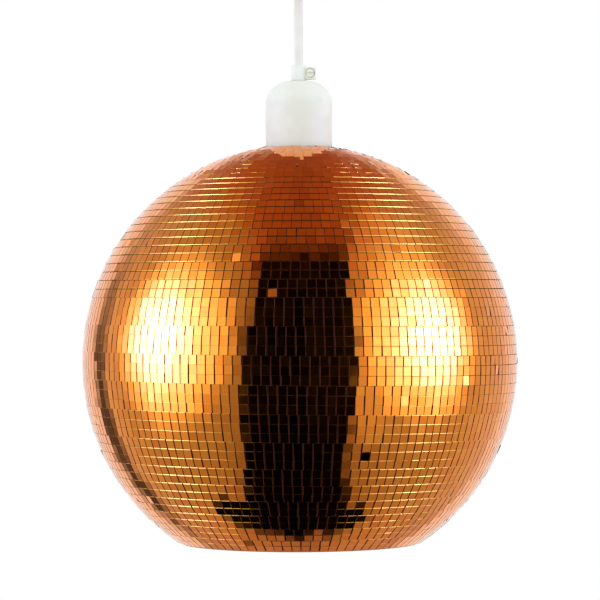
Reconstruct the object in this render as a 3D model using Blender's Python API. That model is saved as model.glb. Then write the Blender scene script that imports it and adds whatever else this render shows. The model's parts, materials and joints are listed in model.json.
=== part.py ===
"""A mirror-ball pendant lamp in metres, with +Z up.

The origin is the middle of the ceiling rose's flat face, and the lamp hangs down from it: a rose,
a cord in a ball bush, a screw-cap lampholder and a round shade. The shade is a moulded shell, open
below, that carries rings of mirror strips. The cord grip's screw faces -Y, the front.
"""

import math

import bmesh
import bpy

MM = 0.001

# Fits
SEAT_GAP = 0.3 * MM  # between pieces that rest on each other
THREAD_FIT = 0.35 * MM  # shade ring on the lampholder's thread
HOLE_FIT = 0.65 * MM  # shade on the lampholder's thread
CORD_FIT = 0.3 * MM  # cord in its grip
SCREW_FIT = 0.3 * MM  # screws in their holes
WELD = 0.001 * MM
SHARP_ANGLE = math.radians(35)

# Ceiling rose
BASE_RADIUS = 37.0 * MM
BASE_PLATE = 4.0 * MM
BASE_COLLAR = 12.0 * MM  # how far the collar stands down from the plate
COLLAR_WALL = 2.5 * MM
COLLAR_INSET = 4.0 * MM
COVER_FIT = 0.4 * MM
COVER_WALL = 2.2 * MM
COVER_SHADOW = 0.5 * MM  # between the cover's edge and the ceiling
COVER_SIDE = 14.0 * MM  # straight part of the cover's side
COVER_FLAT = 16.0 * MM  # radius of the flat underside
ROSE_DEPTH = 30.0 * MM
FIXING_SPACING = 50.8 * MM
FIXING_HOLE = 4.2 * MM
CABLE_ENTRY = 10.0 * MM
CABLE_ENTRY_BACK = 18.0 * MM
BLOCK_SIZE = (24.0 * MM, 9.0 * MM, 7.5 * MM)
BLOCK_EDGE = 0.6 * MM

# Ball bush in the rose
BUSH_RADIUS = 7.0 * MM
BUSH_BELOW = 4.6 * MM  # the pivot to the bush's lower end
BUSH_ABOVE = 4.2 * MM
BUSH_CROWN = 0.3 * MM
BUSH_WAIST_FIT = 0.4 * MM
BUSH_FLARE = math.radians(11)
PIVOT_RISE = 3.0 * MM  # the pivot over the rose's underside
BOSS_WALL = 3.7 * MM
BOSS_RISE = 4.0 * MM  # the boss's top over the pivot

# Cord
CORD_DIAMETER = 6.0 * MM
CORD_DROP = 57.0 * MM  # from the rose's underside to the grip
CORD_TOP = 9.5 * MM  # the cord's upper end over the pivot
CORD_TAIL = 8.2 * MM  # how far the cord reaches into the cap
CORD_POINT_STEP = 2.5  # diameters from one point to the next
STOP_WALL = 2.3 * MM
STOP_HEIGHT = 4.0 * MM
CORE_DIAMETER = 2.2 * MM
CORE_SPACING = 2.8 * MM
CORE_CLEAR = 0.9 * MM  # between the cord's end and its cores in the rose
CORE_STEPS = 6

# Cord grip
GRIP_HEIGHT = 11.0 * MM
GRIP_WALL = 1.95 * MM
GRIP_SLOPE = 1.2 * MM
GRIP_SPLIT = 0.8 * MM
NIPPLE_LENGTH = 5.2 * MM
NIPPLE_WALL = 1.6 * MM
LUG_REACH = 11.6 * MM
LUG_DEPTH = 8.0 * MM
LUG_BASE = 1.0 * MM
LUG_HEIGHT = 8.3 * MM
SPLIT_RISE = 0.65 * MM  # the split's lower end over the cap
LUG_BOSS_DEPTH = 1.3 * MM
GRIP_SCREW_HEAD = 6.2 * MM
GRIP_SCREW_HEAD_HEIGHT = 2.0 * MM
GRIP_SCREW_SHANK = 3.0 * MM
GRIP_SCREW_LENGTH = 7.4 * MM
HEAD_WALL = 0.7 * MM

# Lampholder, from the screw shell outwards
LAMP_BORE = 27.2 * MM
SHELL_METAL = 1.0 * MM
SHELL_HEIGHT = 29.2 * MM
SHELL_FLANGE = 3.1 * MM
SHELL_ROOM = 1.9 * MM  # air between the screw shell and the skirt
SKIRT_WALL = 3.25 * MM
SKIRT_REACH = 4.0 * MM  # the skirt's mouth below the screw shell
SKIRT_RISE = 17.7 * MM  # how far the skirt goes up into the cap
SKIRT_SHOULDER = 0.65 * MM
SHOULDER_RISE = 0.5 * MM
LEDGE_WIDTH = 1.8 * MM
LEDGE_RISE = 1.7 * MM
INSERT_HEIGHT = 12.7 * MM
HUB_DROP = 7.8 * MM
HUB_ROOM = 1.3 * MM
CAP_FIT = 0.4 * MM
CAP_WALL = 2.2 * MM
CAP_HEIGHT = 46.9 * MM
CAP_SHOULDER = 16.0 * MM  # height of the rounded shoulder
CAP_FLAT = 4.5 * MM  # radius where the shoulder's curve starts
TERMINAL_SIZE = (9.0 * MM, 7.0 * MM, 6.0 * MM)
TERMINAL_SPREAD = 10.0 * MM
TERMINAL_EDGE = 0.5 * MM
TERMINAL_HALF_STEP = 2.2 * MM  # screw and core either side of a terminal's middle
TERMINAL_SCREW_HEAD = 3.8 * MM
TERMINAL_SCREW_HEAD_HEIGHT = 1.4 * MM
TERMINAL_SCREW_SHANK = 2.4 * MM
TERMINAL_SCREW_LENGTH = 4.0 * MM
CONTACT_THICKNESS = 0.5 * MM
CONTACT_WIDTH = 5.0 * MM
CONTACT_ROOT = 6.0 * MM  # the bend's distance from the lampholder's axis
CONTACT_PAD = 3.0 * MM
CONTACT_DROP = 3.2 * MM
CONTACT_TIP = 2.0 * MM

# Shade
BALL_RADIUS = 150.0 * MM  # over the mirror tiles
RIM_SHARE = 0.8287  # the cut edge's drop below the ball's centre, to its radius
STRIP_JOINT = 0.35 * MM
STRIP_STAND = 2.4 * MM  # the tiles' faces over the shell
UPPER_STRIPS = 13
BELT_STRIPS = 6
LOWER_STRIPS = 6
WIDE_ROWS = 3  # rows of tiles in a strip of the belt
NARROW_ROWS = 2
FACET_TILES = 4  # tiles to one flat of a strip
LEAST_FACETS = 20
SHELL_WALL = 3.0 * MM
RIM_LIP = 1.2 * MM
LIP_INSET = 0.6 * MM
COLLAR_MARGIN = 1.2 * MM  # the shade's top collar beyond the cap
COLLAR_RISE = 1.4 * MM
NECK_THICKNESS = 5.4 * MM
NECK_MARGIN = 1.8 * MM
RING_HEIGHT = 12.0 * MM
RING_WALL = 4.4 * MM
RING_FLANGE = 3.0 * MM
RING_FLANGE_HEIGHT = 4.0 * MM
RING_FLUTE = 0.8 * MM
RING_EDGE = 0.6 * MM

# How finely round forms are divided
LARGE_SIDES = 36
MIDDLE_SIDES = 30
SMALL_SIDES = 16
SCREW_SIDES = 12
FLUTED_SIDES = 40
ARC_STEPS = 5
SHELL_OUTER_STEPS = 14
SHELL_INNER_STEPS = 10

# Finishes: colour, roughness, metallic
WHITE_PLASTIC = ((0.83, 0.84, 0.80), 0.35, 0.0)
NYLON = ((0.86, 0.88, 0.74), 0.40, 0.0)
HEATPROOF = ((0.85, 0.83, 0.78), 0.45, 0.0)
BRASS = ((0.72, 0.50, 0.20), 0.30, 1.0)
PLATED_STEEL = ((0.65, 0.63, 0.58), 0.25, 1.0)
BROWN_CORE = ((0.20, 0.09, 0.04), 0.50, 0.0)
BLUE_CORE = ((0.05, 0.12, 0.40), 0.50, 0.0)
SHADE_PLASTIC = ((0.30, 0.15, 0.09), 0.45, 0.0)
COPPER_MIRROR = ((0.93, 0.50, 0.27), 0.04, 1.0)

# Heights that follow from the sizes above
PIVOT_Z = PIVOT_RISE - ROSE_DEPTH
GRIP_TOP_Z = -ROSE_DEPTH - CORD_DROP
CAP_TOP_Z = GRIP_TOP_Z - GRIP_HEIGHT
CAP_BASE_Z = CAP_TOP_Z - CAP_HEIGHT

# Radii of the lampholder that follow from the sizes above
CORD_RADIUS = CORD_DIAMETER / 2
LAMP_RADIUS = LAMP_BORE / 2
SCREW_SHELL_RADIUS = LAMP_RADIUS + SHELL_METAL
SKIRT_BORE = SCREW_SHELL_RADIUS + SHELL_ROOM
THREAD_RADIUS = SKIRT_BORE + SKIRT_WALL
LEDGE_RADIUS = SKIRT_BORE + LEDGE_WIDTH
SKIRT_TOP_RADIUS = THREAD_RADIUS + SKIRT_SHOULDER
CAP_BORE = SKIRT_TOP_RADIUS + CAP_FIT
CAP_RADIUS = CAP_BORE + CAP_WALL
NIPPLE_BORE = CORD_RADIUS + CORD_FIT
NIPPLE_RADIUS = NIPPLE_BORE + NIPPLE_WALL
CAP_HOLE = NIPPLE_RADIUS + SEAT_GAP
INSERT_BASE = LEDGE_RISE + SEAT_GAP
INSERT_TOP = INSERT_BASE + INSERT_HEIGHT
HUB_BASE = INSERT_BASE - HUB_DROP
SHELL_TOP = HUB_BASE - SEAT_GAP
SHELL_BASE = SHELL_TOP - SHELL_HEIGHT
SKIRT_BASE = SHELL_BASE - SKIRT_REACH

# The shade's places, from the ball's centre
SHELL_RADIUS = BALL_RADIUS - STRIP_STAND
SHELL_BORE = SHELL_RADIUS - SHELL_WALL
COLLAR_RADIUS = CAP_RADIUS + COLLAR_MARGIN
COLLAR_TOP = math.sqrt(SHELL_RADIUS**2 - COLLAR_RADIUS**2) + COLLAR_RISE
NECK_BASE = COLLAR_TOP - NECK_THICKNESS
SHADE_HOLE = THREAD_RADIUS + HOLE_FIT
RING_BORE = THREAD_RADIUS + THREAD_FIT
RING_RADIUS = RING_BORE + RING_WALL
RING_FLANGE_RADIUS = RING_RADIUS + RING_FLANGE
NECK_RADIUS = RING_FLANGE_RADIUS + NECK_MARGIN
BALL_Z = CAP_BASE_Z - SEAT_GAP - COLLAR_TOP


def arc(centre, radii, start, end, steps):
    """(radius, height) points on an elliptical arc, at angles in degrees from +radius to +height."""
    points = []
    for step in range(steps + 1):
        angle = math.radians(start + (end - start) * step / steps)
        across = centre[0] + radii[0] * math.cos(angle)
        up = centre[1] + radii[1] * math.sin(angle)
        points.append((across, up))
    return points


def finished_mesh(name, shape):
    """A mesh from a bmesh, welded, facing out and smooth but for its sharp edges."""
    bmesh.ops.remove_doubles(shape, verts=shape.verts[:], dist=WELD)
    bmesh.ops.recalc_face_normals(shape, faces=shape.faces[:])
    mesh = bpy.data.meshes.new(name)
    shape.to_mesh(mesh)
    shape.free()
    mesh.shade_smooth()
    mesh.set_sharp_from_angle(angle=SHARP_ANGLE)
    return mesh


def turned_mesh(name, outline, sides):
    """A closed outline of (radius, height) points, turned about Z."""
    shape = bmesh.new()
    points = [shape.verts.new((radius, 0.0, height)) for radius, height in outline]
    for start, end in zip(points, points[1:] + points[:1]):
        if max(start.co.x, end.co.x) > 0:
            shape.edges.new((start, end))
    profile = shape.verts[:] + shape.edges[:]
    bmesh.ops.spin(
        shape, geom=profile, cent=(0, 0, 0), axis=(0, 0, 1), angle=math.tau, steps=sides, use_merge=True
    )
    return finished_mesh(name, shape)


def box_mesh(name, size, edge=0.0):
    """A box about its own middle, with its edges broken."""
    shape = bmesh.new()
    bmesh.ops.create_cube(shape, size=1.0)
    bmesh.ops.scale(shape, vec=size, verts=shape.verts[:])
    if edge:
        bmesh.ops.bevel(shape, geom=shape.edges[:], offset=edge, segments=1, affect="EDGES")
    return finished_mesh(name, shape)


def axis_empty(name, parent, at):
    """A joint's own axis, which carries what moves on it."""
    empty = bpy.data.objects.new(name, None)
    bpy.context.scene.collection.objects.link(empty)
    empty.parent = parent
    empty.location = at
    return empty


def place(name, data, finish, parent=None, at=(0, 0, 0), turn=(0, 0, 0)):
    """One named piece with its own material, placed under its parent."""
    colour, roughness, metallic = finish
    material = bpy.data.materials.new(name)
    material.use_nodes = True
    shader = material.node_tree.nodes["Principled BSDF"]
    shader.inputs["Base Color"].default_value = (*colour, 1.0)
    shader.inputs["Roughness"].default_value = roughness
    shader.inputs["Metallic"].default_value = metallic
    data.materials.append(material)
    piece = bpy.data.objects.new(name, data)
    bpy.context.scene.collection.objects.link(piece)
    piece.parent = parent
    piece.location = at
    piece.rotation_euler = turn
    return piece


def combine(piece, operation, mesh, at=(0, 0, 0), turn=(0, 0, 0), solver="EXACT"):
    """Cuts a hidden tool from a piece, or joins it on."""
    tool = bpy.data.objects.new(mesh.name, mesh)
    bpy.context.scene.collection.objects.link(tool)
    tool.parent = piece
    tool.location = at
    tool.rotation_euler = turn
    tool.hide_render = True
    tool.display_type = "WIRE"
    modifier = piece.modifiers.new(mesh.name, "BOOLEAN")
    modifier.operation = operation
    modifier.solver = solver
    modifier.object = tool


def rod_mesh(name, radius, base, top, sides=SMALL_SIDES):
    """A plain round bar along Z."""
    return turned_mesh(name, [(0, base), (radius, base), (radius, top), (0, top)], sides)


def slotted_screw(name, head, head_height, shank, length, finish, parent, at, turn):
    """A cheese-head screw along Z, its head's seat at its origin, with a slot across the head."""
    edge = head_height / 5
    outline = [(0, -length), (shank / 2, -length), (shank / 2, 0), (head / 2, 0)]
    outline += [(head / 2, head_height - edge), (head / 2 - edge, head_height), (0, head_height)]
    screw = place(name, turned_mesh(name, outline, SCREW_SIDES), finish, parent, at, turn)
    slot = box_mesh(name + "_slot", (head * 1.2, head / 6, head_height))
    combine(screw, "DIFFERENCE", slot, at=(0, 0, head_height))


def tube(name, points, radius, resolution, finish, parent):
    """A round cord or wire along a list of points, with closed ends."""
    curve = bpy.data.curves.new(name, "CURVE")
    curve.dimensions = "3D"
    curve.bevel_depth = radius
    curve.bevel_resolution = resolution
    curve.use_fill_caps = True
    spline = curve.splines.new("POLY")
    spline.points.add(len(points) - 1)
    for point, place_at in zip(spline.points, points):
        point.co = (*place_at, 1.0)
    return place(name, curve, finish, parent)


def core_route(start, end):
    """Points of a wire that leaves and arrives upright, with a smooth sideways bend between."""
    points = []
    for step in range(CORE_STEPS + 1):
        along = step / CORE_STEPS
        bend = along * along * (3 - 2 * along)
        across = start[0] + (end[0] - start[0]) * bend
        points.append((across, start[1], start[2] + (end[2] - start[2]) * along))
    return points


def ceiling_rose():
    """Base screwed to the ceiling, its wiring, and the cover that holds the bush."""
    collar = BASE_RADIUS - COLLAR_INSET
    collar_base = -BASE_PLATE - BASE_COLLAR
    outline = [(0, 0), (BASE_RADIUS, 0), (BASE_RADIUS, -BASE_PLATE), (collar, -BASE_PLATE)]
    outline += [(collar, collar_base), (collar - COLLAR_WALL, collar_base)]
    outline += [(collar - COLLAR_WALL, -BASE_PLATE), (0, -BASE_PLATE)]
    base = place("rose_base", turned_mesh("rose_base", outline, MIDDLE_SIDES), WHITE_PLASTIC)
    for side in (-1, 1):
        hole = rod_mesh("fixing_hole", FIXING_HOLE / 2, -2 * BASE_PLATE, BASE_PLATE)
        combine(base, "DIFFERENCE", hole, at=(side * FIXING_SPACING / 2, 0, 0))
    entry = rod_mesh("cable_entry", CABLE_ENTRY / 2, -2 * BASE_PLATE, BASE_PLATE)
    combine(base, "DIFFERENCE", entry, at=(0, CABLE_ENTRY_BACK, 0))

    bore = BASE_RADIUS + COVER_FIT
    floor = COVER_WALL - ROSE_DEPTH
    seat = BUSH_RADIUS + SEAT_GAP
    boss = seat + BOSS_WALL
    lip_angle = -math.degrees(math.asin(PIVOT_RISE / seat))
    curve = ROSE_DEPTH - COVER_SIDE
    outer = bore + COVER_WALL
    outline = [(bore, -COVER_SHADOW), (outer, -COVER_SHADOW)]
    outline += arc((COVER_FLAT, -COVER_SIDE), (outer - COVER_FLAT, curve), 0, -90, ARC_STEPS)
    outline += arc((0, PIVOT_Z), (seat, seat), lip_angle, 0, 2)
    outline += [(seat, PIVOT_Z + BOSS_RISE), (boss, PIVOT_Z + BOSS_RISE), (boss, floor)]
    outline += arc((COVER_FLAT, -COVER_SIDE), (bore - COVER_FLAT, curve - COVER_WALL), -90, 0, ARC_STEPS)
    place("rose_cover", turned_mesh("rose_cover", outline, MIDDLE_SIDES), WHITE_PLASTIC)

    block_z = -BASE_PLATE - SEAT_GAP - BLOCK_SIZE[2] / 2
    block_base = block_z - BLOCK_SIZE[2] / 2
    block_mesh = box_mesh("rose_terminal_block", BLOCK_SIZE, BLOCK_EDGE)
    block = place("rose_terminal_block", block_mesh, WHITE_PLASTIC, at=(0, 0, block_z))
    hole_radius = TERMINAL_SCREW_SHANK / 2 + SCREW_FIT
    hole_depth = TERMINAL_SCREW_LENGTH + SCREW_FIT
    cord_end = PIVOT_Z + CORD_TOP
    for name, side, colour in (("live", -1, BROWN_CORE), ("neutral", 1, BLUE_CORE)):
        screw_x = side * BLOCK_SIZE[0] / 3
        hole = rod_mesh(name + "_rose_hole", hole_radius, -BLOCK_SIZE[2], hole_depth)
        combine(block, "DIFFERENCE", hole, at=(screw_x, 0, -BLOCK_SIZE[2] / 2))
        slotted_screw(
            f"rose_{name}_screw",
            TERMINAL_SCREW_HEAD,
            TERMINAL_SCREW_HEAD_HEIGHT,
            TERMINAL_SCREW_SHANK,
            TERMINAL_SCREW_LENGTH,
            BRASS,
            None,
            (screw_x, 0, block_base - SEAT_GAP),
            (math.pi, 0, 0),
        )
        core_x = side * CORE_SPACING / 2
        route = core_route((core_x, 0, cord_end + CORE_CLEAR), (2 * core_x, 0, block_base - SEAT_GAP))
        tube(f"rose_{name}_core", route, CORE_DIAMETER / 2, 2, colour, None)


def cord_and_bush():
    """The ball bush, and the cord that swings in it on a stop collar."""
    front_back = axis_empty("swing_front_back_axis", None, (0, 0, PIVOT_Z))
    side = axis_empty("swing_side_axis", front_back, (0, 0, 0))
    waist = CORD_RADIUS + BUSH_WAIST_FIT
    flare = math.tan(BUSH_FLARE)
    low = -math.degrees(math.asin(BUSH_BELOW / BUSH_RADIUS))
    high = math.degrees(math.asin(BUSH_ABOVE / BUSH_RADIUS))
    outline = [(waist, 0), (waist + flare * BUSH_BELOW, -BUSH_BELOW)]
    outline += arc((0, 0), (BUSH_RADIUS, BUSH_RADIUS), low, high, ARC_STEPS)
    outline += [(waist + flare * BUSH_ABOVE, BUSH_ABOVE + BUSH_CROWN)]
    place("cord_bush", turned_mesh("cord_bush", outline, SMALL_SIDES), WHITE_PLASTIC, front_back)

    stop_bore = CORD_RADIUS + CORD_FIT
    stop_top = CORD_TOP - CORD_FIT
    stop = [(stop_bore, stop_top - STOP_HEIGHT), (stop_bore + STOP_WALL, stop_top - STOP_HEIGHT)]
    stop += [(stop_bore + STOP_WALL, stop_top), (stop_bore, stop_top)]
    place("cord_collar", turned_mesh("cord_collar", stop, SMALL_SIDES), NYLON, side)

    bottom = CAP_TOP_Z - CORD_TAIL - PIVOT_Z
    length = CORD_TOP - bottom
    steps = round(length / (CORD_POINT_STEP * CORD_DIAMETER))
    points = [(0, 0, bottom + length * step / steps) for step in range(steps + 1)]
    tube("flex_cord", points, CORD_RADIUS, 3, WHITE_PLASTIC, side)
    return side


def cord_grip(holder):
    """A split neck round the cord with a clamp screw through its lug, screwed into the cap."""
    neck = NIPPLE_BORE + GRIP_WALL
    outline = [(NIPPLE_BORE, -NIPPLE_LENGTH), (NIPPLE_RADIUS, -NIPPLE_LENGTH), (NIPPLE_RADIUS, SEAT_GAP)]
    outline += [(neck, SEAT_GAP), (neck, GRIP_HEIGHT - GRIP_SLOPE)]
    outline += [(neck - GRIP_SLOPE, GRIP_HEIGHT), (NIPPLE_BORE, GRIP_HEIGHT)]
    grip_mesh = turned_mesh("cord_grip", outline, SMALL_SIDES)
    grip = place("cord_grip", grip_mesh, WHITE_PLASTIC, holder, (0, 0, CAP_HEIGHT))

    lug_start = (NIPPLE_BORE + neck) / 2
    lug_middle = (lug_start + LUG_REACH) / 2
    lug_height = LUG_BASE + LUG_HEIGHT / 2
    lug = box_mesh("lug", (LUG_REACH - lug_start, LUG_DEPTH, LUG_HEIGHT))
    combine(grip, "UNION", lug, (lug_middle, 0, lug_height))
    screw_x = LUG_REACH - GRIP_SCREW_HEAD / 2 - HEAD_WALL
    lug_front = -LUG_DEPTH / 2
    facing_front = (math.pi / 2, 0, 0)
    boss_radius = GRIP_SCREW_HEAD / 2 + SCREW_FIT + HEAD_WALL
    boss = rod_mesh("lug_boss", boss_radius, -LUG_DEPTH / 4, LUG_BOSS_DEPTH)
    combine(grip, "UNION", boss, (screw_x, lug_front, lug_height), facing_front)
    head_seat = lug_front - LUG_BOSS_DEPTH + GRIP_SCREW_HEAD_HEIGHT
    pocket = rod_mesh("head_pocket", GRIP_SCREW_HEAD / 2 + SCREW_FIT, -SEAT_GAP, LUG_DEPTH)
    combine(grip, "DIFFERENCE", pocket, (screw_x, head_seat, lug_height), facing_front)
    hole = rod_mesh("shank_hole", GRIP_SCREW_SHANK / 2 + SCREW_FIT, -2 * LUG_DEPTH, LUG_DEPTH)
    combine(grip, "DIFFERENCE", hole, (screw_x, head_seat, lug_height), facing_front)
    split = box_mesh("grip_split", (2 * LUG_REACH, GRIP_SPLIT, 2 * GRIP_HEIGHT))
    combine(grip, "DIFFERENCE", split, (LUG_REACH, 0, GRIP_HEIGHT + SPLIT_RISE), solver="MANIFOLD")
    slotted_screw(
        "cord_grip_screw",
        GRIP_SCREW_HEAD,
        GRIP_SCREW_HEAD_HEIGHT,
        GRIP_SCREW_SHANK,
        GRIP_SCREW_LENGTH,
        NYLON,
        holder,
        (screw_x, head_seat, CAP_HEIGHT + lug_height),
        facing_front,
    )


def lampholder(holder):
    """Cap, insert, screw shell and threaded skirt, from the cap's lower edge at the holder's origin."""
    side = CAP_HEIGHT - CAP_SHOULDER
    radii = (CAP_RADIUS - CAP_FLAT, CAP_SHOULDER)
    inner_radii = (CAP_BORE - CAP_FLAT, CAP_SHOULDER - CAP_WALL)
    top_angle = math.degrees(math.acos((CAP_HOLE - CAP_FLAT) / radii[0]))
    inner_angle = math.degrees(math.acos((CAP_HOLE - CAP_FLAT) / inner_radii[0]))
    outline = [(CAP_BORE, 0), (CAP_RADIUS, 0)]
    outline += arc((CAP_FLAT, side), radii, 0, top_angle, ARC_STEPS + 2)
    outline += arc((CAP_FLAT, side), inner_radii, inner_angle, 0, ARC_STEPS)
    place("holder_cap", turned_mesh("holder_cap", outline, LARGE_SIDES), WHITE_PLASTIC, holder)

    insert = LEDGE_RADIUS - SEAT_GAP
    hub = SKIRT_BORE - HUB_ROOM
    outline = [(0, HUB_BASE), (hub, HUB_BASE), (hub, INSERT_BASE), (insert, INSERT_BASE)]
    outline += [(insert, INSERT_TOP), (0, INSERT_TOP)]
    place("holder_insert", turned_mesh("holder_insert", outline, MIDDLE_SIDES), HEATPROOF, holder)

    flange_bore = LAMP_RADIUS - SHELL_FLANGE
    outline = [(LAMP_RADIUS, SHELL_BASE), (SCREW_SHELL_RADIUS, SHELL_BASE)]
    outline += [(SCREW_SHELL_RADIUS, SHELL_TOP), (flange_bore, SHELL_TOP)]
    outline += [(flange_bore, SHELL_TOP - SHELL_METAL), (LAMP_RADIUS, SHELL_TOP - SHELL_METAL)]
    place("screw_shell", turned_mesh("screw_shell", outline, MIDDLE_SIDES), PLATED_STEEL, holder)

    outline = [(SKIRT_BORE, SKIRT_BASE), (THREAD_RADIUS, SKIRT_BASE), (THREAD_RADIUS, SHOULDER_RISE)]
    outline += [(SKIRT_TOP_RADIUS, SHOULDER_RISE), (SKIRT_TOP_RADIUS, SKIRT_RISE)]
    outline += [(LEDGE_RADIUS, SKIRT_RISE), (LEDGE_RADIUS, LEDGE_RISE), (SKIRT_BORE, LEDGE_RISE)]
    place("holder_skirt", turned_mesh("holder_skirt", outline, MIDDLE_SIDES), WHITE_PLASTIC, holder)


def holder_wiring(holder):
    """Two terminals on the insert, each with its screw and the core that comes to it."""
    base = INSERT_TOP + SEAT_GAP
    top = base + TERMINAL_SIZE[2]
    cord_end = CAP_HEIGHT - CORD_TAIL
    hole_radius = TERMINAL_SCREW_SHANK / 2 + SCREW_FIT
    hole_depth = TERMINAL_SCREW_LENGTH + SCREW_FIT
    for name, side, colour in (("live", -1, BROWN_CORE), ("neutral", 1, BLUE_CORE)):
        middle = side * TERMINAL_SPREAD
        screw_x = side * TERMINAL_HALF_STEP
        mesh = box_mesh(f"{name}_terminal", TERMINAL_SIZE, TERMINAL_EDGE)
        at = (middle, 0, base + TERMINAL_SIZE[2] / 2)
        terminal = place(f"{name}_terminal", mesh, BRASS, holder, at)
        hole = rod_mesh(f"{name}_terminal_hole", hole_radius, -hole_depth, TERMINAL_SIZE[2])
        combine(terminal, "DIFFERENCE", hole, (screw_x, 0, TERMINAL_SIZE[2] / 2))
        slotted_screw(
            f"{name}_terminal_screw",
            TERMINAL_SCREW_HEAD,
            TERMINAL_SCREW_HEAD_HEIGHT,
            TERMINAL_SCREW_SHANK,
            TERMINAL_SCREW_LENGTH,
            BRASS,
            holder,
            (middle + screw_x, 0, top + SEAT_GAP),
            (0, 0, 0),
        )
        start = (side * CORE_SPACING / 2, 0, cord_end - SEAT_GAP)
        end = (middle - screw_x, 0, top + SEAT_GAP)
        tube(f"{name}_core", core_route(start, end), CORE_DIAMETER / 2, 2, colour, holder)


def centre_contact(holder):
    """A sprung brass leaf under the insert, bent down to the middle from its root."""
    root_z = SHELL_TOP - CONTACT_THICKNESS / 2
    root = axis_empty("contact_flex_axis", holder, (CONTACT_ROOT, 0, root_z))
    half = CONTACT_THICKNESS / 2
    lower = [(CONTACT_PAD, -half), (0, -half), (-CONTACT_ROOT, -CONTACT_DROP - half)]
    lower += [(-CONTACT_ROOT - CONTACT_TIP, -CONTACT_DROP + half)]
    upper = [(x, z + CONTACT_THICKNESS) for x, z in reversed(lower)]
    shape = bmesh.new()
    verts = [shape.verts.new((x, -CONTACT_WIDTH / 2, z)) for x, z in lower + upper]
    face = shape.faces.new(verts)
    grown = bmesh.ops.extrude_face_region(shape, geom=[face])["geom"]
    moved = [part for part in grown if isinstance(part, bmesh.types.BMVert)]
    bmesh.ops.translate(shape, verts=moved, vec=(0, CONTACT_WIDTH, 0))
    place("centre_contact", finished_mesh("centre_contact", shape), BRASS, root)


def on_ball(radius, polar):
    """The (radius, height) point of a sphere at an angle from its top."""
    return (radius * math.sin(polar), radius * math.cos(polar))


def shade_shell(ball):
    """The moulded ball: flat collar on top for the cap, flat seat inside for the ring, lip below."""
    rim = math.acos(-RIM_SHARE) + SEAT_GAP / BALL_RADIUS
    lip = rim + RIM_LIP / BALL_RADIUS
    lip_radius = BALL_RADIUS - LIP_INSET
    start = math.asin(COLLAR_RADIUS / SHELL_RADIUS)
    inner_start = math.asin(NECK_RADIUS / SHELL_BORE)
    outline = [(SHADE_HOLE, NECK_BASE), (SHADE_HOLE, COLLAR_TOP), (COLLAR_RADIUS, COLLAR_TOP)]
    for step in range(SHELL_OUTER_STEPS + 1):
        outline.append(on_ball(SHELL_RADIUS, start + (rim - start) * step / SHELL_OUTER_STEPS))
    outline += [on_ball(lip_radius, rim), on_ball(lip_radius, lip)]
    for step in range(SHELL_INNER_STEPS + 1):
        outline.append(on_ball(SHELL_BORE, lip + (inner_start - lip) * step / SHELL_INNER_STEPS))
    outline.append((NECK_RADIUS, NECK_BASE))
    place("shade_shell", turned_mesh("shade_shell", outline, LARGE_SIDES), SHADE_PLASTIC, ball)


def strip_outline(top, bottom, facets):
    """A strip's section, kept between its two edges and clear of the shell along its flats too."""
    flat = math.cos(math.pi / facets)
    if top < math.pi / 2:
        top = math.atan2(math.sin(top), math.cos(top) * flat)
    if bottom > math.pi / 2:
        bottom = math.atan2(math.sin(bottom), math.cos(bottom) * flat)
    high = (math.sin(top) * flat, math.cos(top))
    low = (math.sin(bottom) * flat, math.cos(bottom))
    chord = math.dist(high, low)
    flat_distance = abs(high[0] * low[1] - high[1] * low[0]) / chord
    back = (SHELL_RADIUS + SEAT_GAP) / flat_distance
    edges = [on_ball(BALL_RADIUS, top), on_ball(BALL_RADIUS, bottom)]
    return edges + [on_ball(back, bottom), on_ball(back, top)]


def mirror_strips(ball):
    """Rings of mirror strip from the top collar down to the rim, their joints staggered."""
    top = math.asin((COLLAR_RADIUS + STRIP_JOINT) / SHELL_RADIUS)
    rim = math.acos(-RIM_SHARE)
    plan = [NARROW_ROWS] * UPPER_STRIPS + [WIDE_ROWS] * BELT_STRIPS + [NARROW_ROWS] * LOWER_STRIPS
    row_angle = (rim - top) / sum(plan)
    tile = row_angle * BALL_RADIUS
    half_joint = STRIP_JOINT / 2 / BALL_RADIUS
    laid = 0
    for index, count in enumerate(plan):
        upper = top + laid * row_angle + half_joint
        laid += count
        lower = top + laid * row_angle - half_joint
        girth = math.tau * BALL_RADIUS * math.sin((upper + lower) / 2)
        facets = max(LEAST_FACETS, round(girth / (FACET_TILES * tile)))
        name = f"mirror_strip_{index + 1:02d}"
        mesh = turned_mesh(name, strip_outline(upper, lower, facets), facets)
        mesh.shade_flat()
        stagger = math.pi / facets * (index % 2)
        place(name, mesh, COPPER_MIRROR, ball, turn=(0, 0, stagger))


def shade_ring(ball):
    """The threaded ring under the shade's neck, its flange fluted for the fingers."""
    top = NECK_BASE - SEAT_GAP
    base = top - RING_HEIGHT
    flange_base = top - RING_FLANGE_HEIGHT
    outline = [(RING_BORE, base), (RING_RADIUS - RING_EDGE, base), (RING_RADIUS, base + RING_EDGE)]
    outline += [(RING_RADIUS, flange_base), (RING_FLANGE_RADIUS, flange_base)]
    outline += [(RING_FLANGE_RADIUS, top), (RING_BORE, top)]
    mesh = turned_mesh("shade_ring", outline, FLUTED_SIDES)
    drawn_in = 1 - RING_FLUTE / RING_FLANGE_RADIUS
    for vert in mesh.vertices:
        column = round(math.atan2(vert.co.y, vert.co.x) / math.tau * FLUTED_SIDES)
        on_flange = math.hypot(vert.co.x, vert.co.y) > RING_FLANGE_RADIUS - WELD
        if on_flange and column % 2:
            vert.co.x *= drawn_in
            vert.co.y *= drawn_in
    turn = axis_empty("ring_turn_axis", ball, (0, 0, 0))
    place("shade_ring", mesh, WHITE_PLASTIC, turn)


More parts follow.
